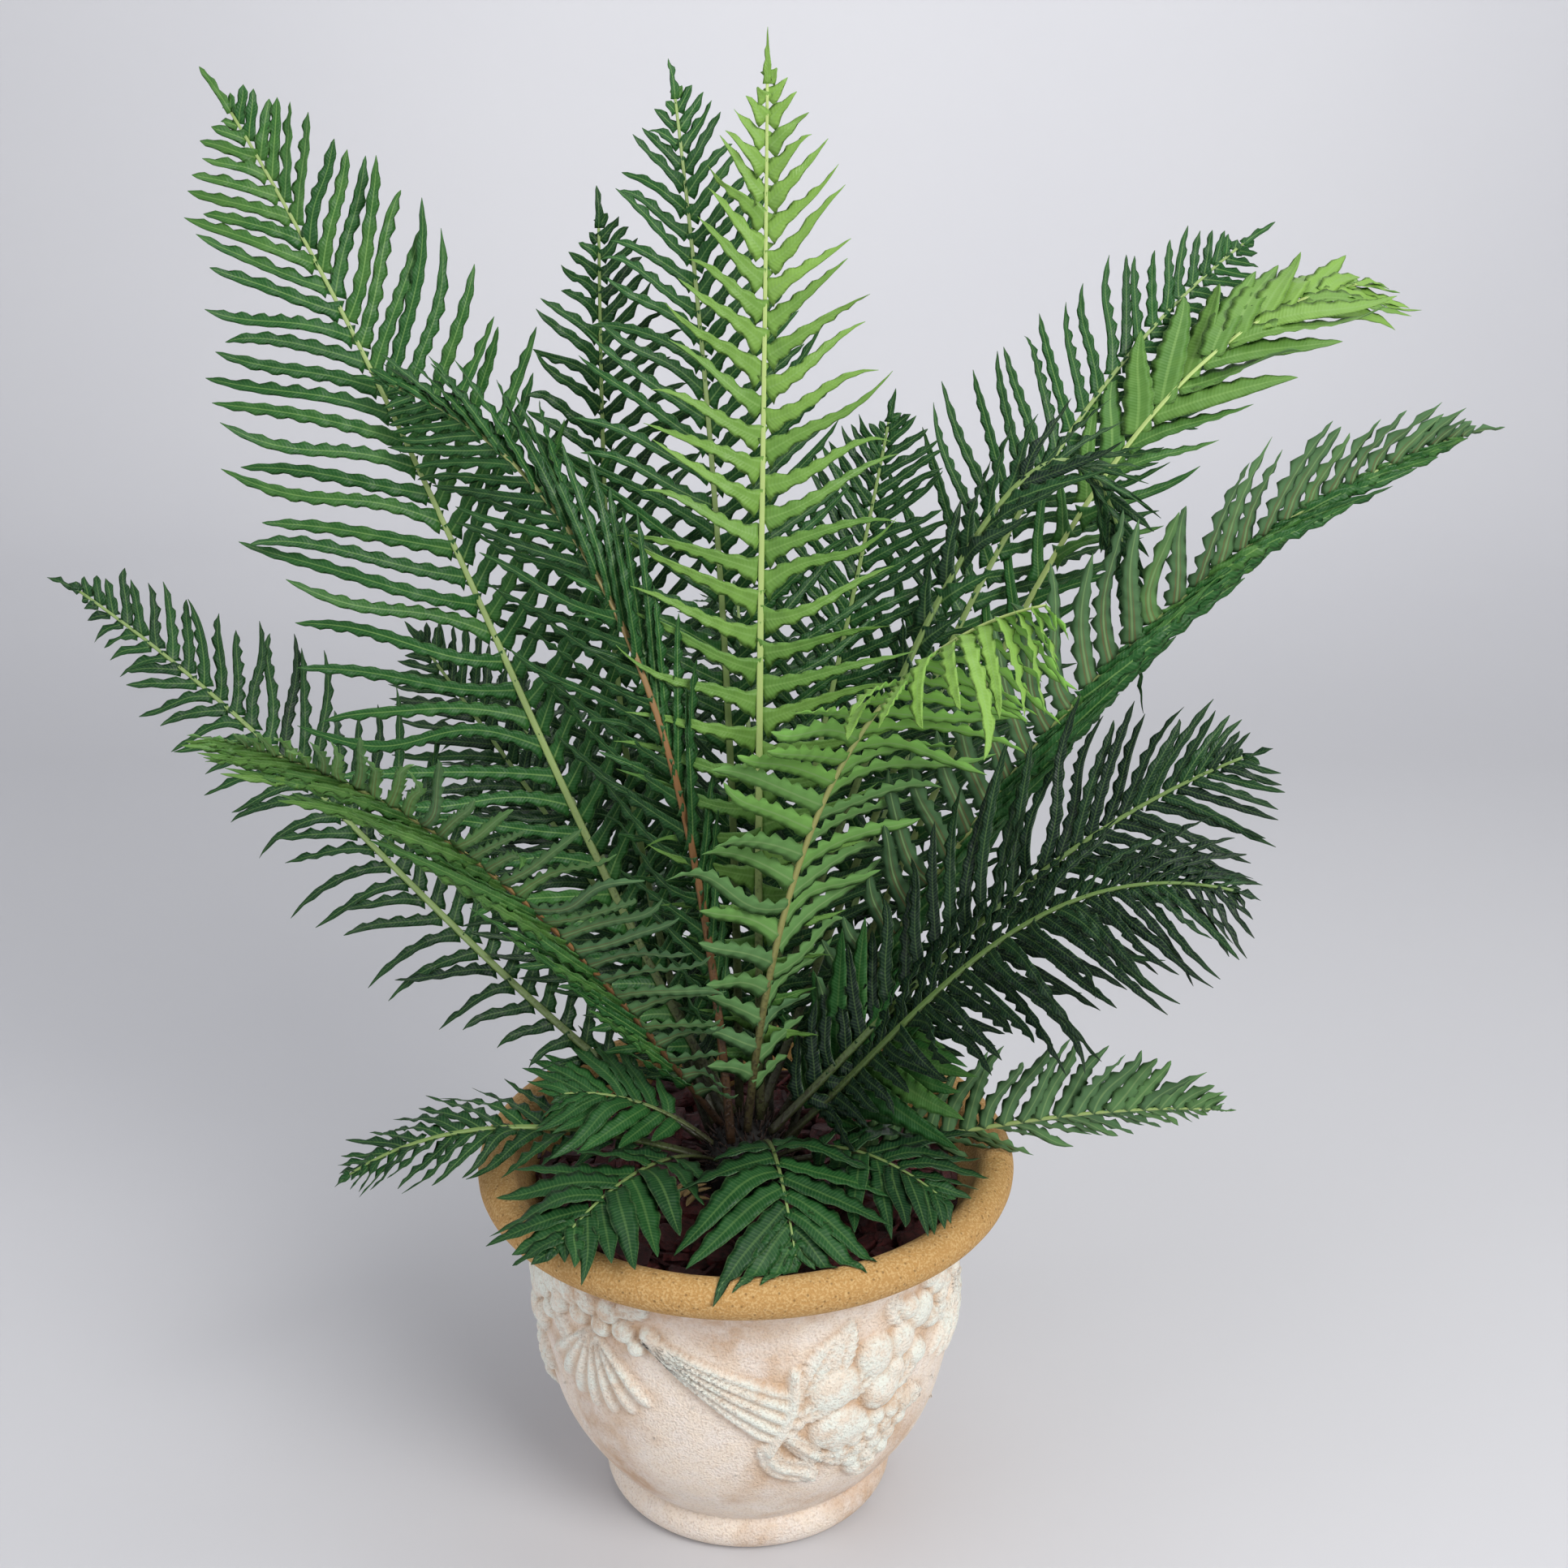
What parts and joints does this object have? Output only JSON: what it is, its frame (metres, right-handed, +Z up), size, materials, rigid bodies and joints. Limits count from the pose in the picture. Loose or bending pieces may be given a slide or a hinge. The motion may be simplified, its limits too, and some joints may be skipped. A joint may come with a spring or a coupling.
{
  "type": "potted fern",
  "caption": "Potted fern: a rosette of long feather-shaped fronds over bark mulch, in a bell-shaped cast planter with a rolled rim and low garland relief.",
  "frame": {"origin": "centre of the planter's flat underside, which rests on the floor", "axes": "+Z up along the planter's axis; -Y is the front, the side the reference view looks from; +X is to the right in that view"},
  "size_m": [0.8818, 0.5221, 0.914],
  "materials": {
    "planter": "dry cast surface: bare ochre rim, pale lime wash on the body",
    "potting_mix": "damp, dark, crumbly",
    "bark": "rough red-brown bark chips, matt with a faint damp sheen",
    "crown": "dark brown scales and cut stalk bases",
    "leaf": "semi-gloss dark green leaf, paler and duller beneath",
    "young_leaf": "semi-gloss bright green young leaf",
    "dry_leaf": "dry tan dead leaf"
  },
  "bodies": {
    "root": {"planter_foot": "planter", "planter_wall": "planter", "planter_rim": "planter", "potting_mix": "potting_mix", "mulch_bed": "bark", "crown": "crown", "bark_chip_1": "bark", "bark_chip_2": "bark", "bark_chip_3": "bark", "bark_chip_4": "bark", "bark_chip_5": "bark", "bark_chip_6": "bark", "bark_chip_7": "bark", "bark_chip_8": "bark", "bark_chip_9": "bark", "bark_chip_10": "bark", "bark_chip_11": "bark", "bark_chip_12": "bark", "bark_chip_13": "bark", "bark_chip_14": "bark", "dry_leaf_scrap": "dry_leaf", "frond_left_tall": "leaf", "frond_centre_young": "young_leaf", "frond_right_front": "leaf", "frond_front_left": "leaf", "frond_low_left": "leaf", "frond_right_tall": "leaf", "frond_right_mid": "leaf", "frond_right_low": "leaf", "frond_back_centre": "leaf", "frond_back_left": "leaf", "frond_arched_left": "leaf", "frond_right_bright": "young_leaf", "frond_rim_left": "leaf", "frond_rim_right": "leaf", "frond_right_under": "leaf", "frond_rosette_left": "leaf", "frond_rosette_front": "leaf", "frond_rosette_west": "leaf", "frond_rosette_east": "leaf", "frond_rosette_upright": "leaf", "frond_inner_left": "leaf", "frond_inner_right": "leaf", "frond_hanging_right": "leaf", "frond_back_low_left": "leaf", "frond_back_low": "leaf", "frond_back_low_right": "leaf", "frond_back_rim": "leaf"}
  },
  "joints": []
}
